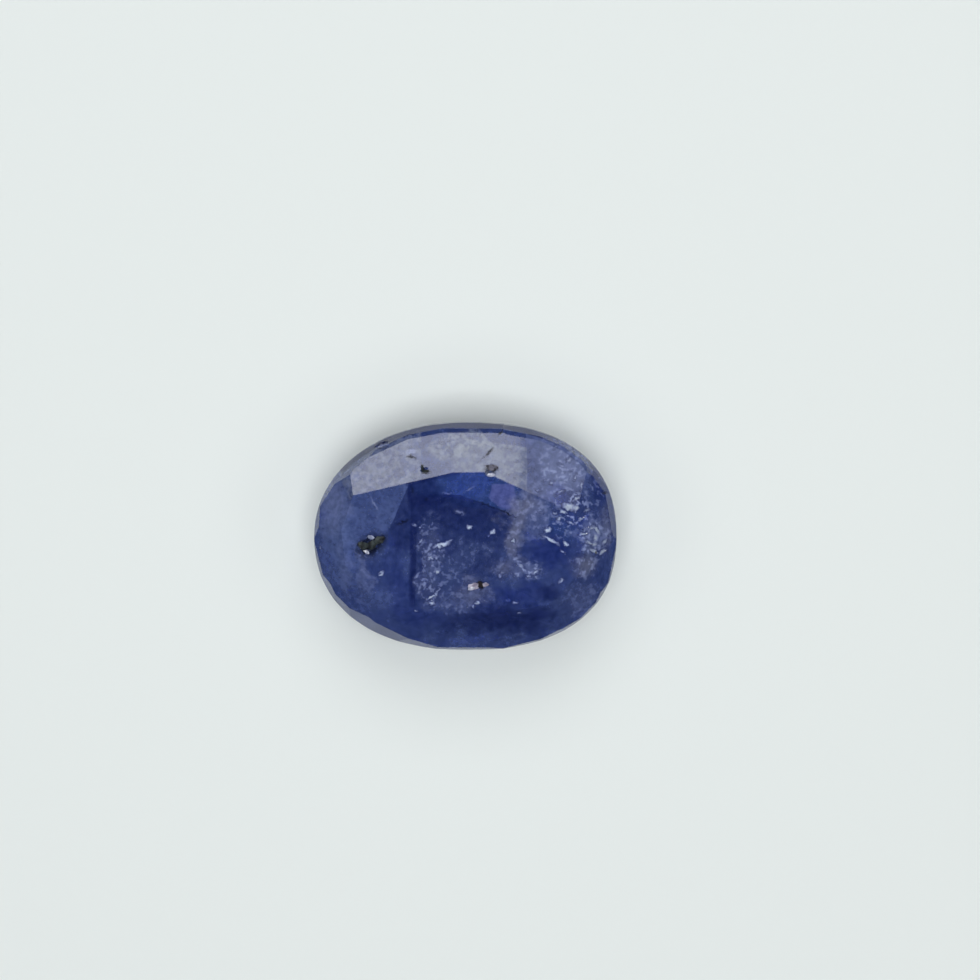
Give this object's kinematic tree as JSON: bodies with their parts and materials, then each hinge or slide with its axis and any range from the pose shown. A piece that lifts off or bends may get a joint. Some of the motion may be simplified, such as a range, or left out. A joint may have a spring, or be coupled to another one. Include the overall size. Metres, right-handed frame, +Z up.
{
  "type": "blue sapphire",
  "caption": "Loose oval blue sapphire, hand faceted with a large twelve-sided table, silk clouds, feathers and open pits, and a flat culet that it stands on.",
  "frame": {"origin": "on the surface that the stone stands on, under the middle of its outline", "axes": "+X along the stone's length, +Y across it towards the side with the small girdle chip, +Z up out of the table"},
  "size_m": [0.013, 0.0098, 0.0055],
  "materials": {
    "sapphire_crystal": "polished, translucent, with feathers, silk clouds and small dark crystals inside"
  },
  "bodies": {
    "root": {"sapphire": "sapphire_crystal"}
  },
  "joints": []
}
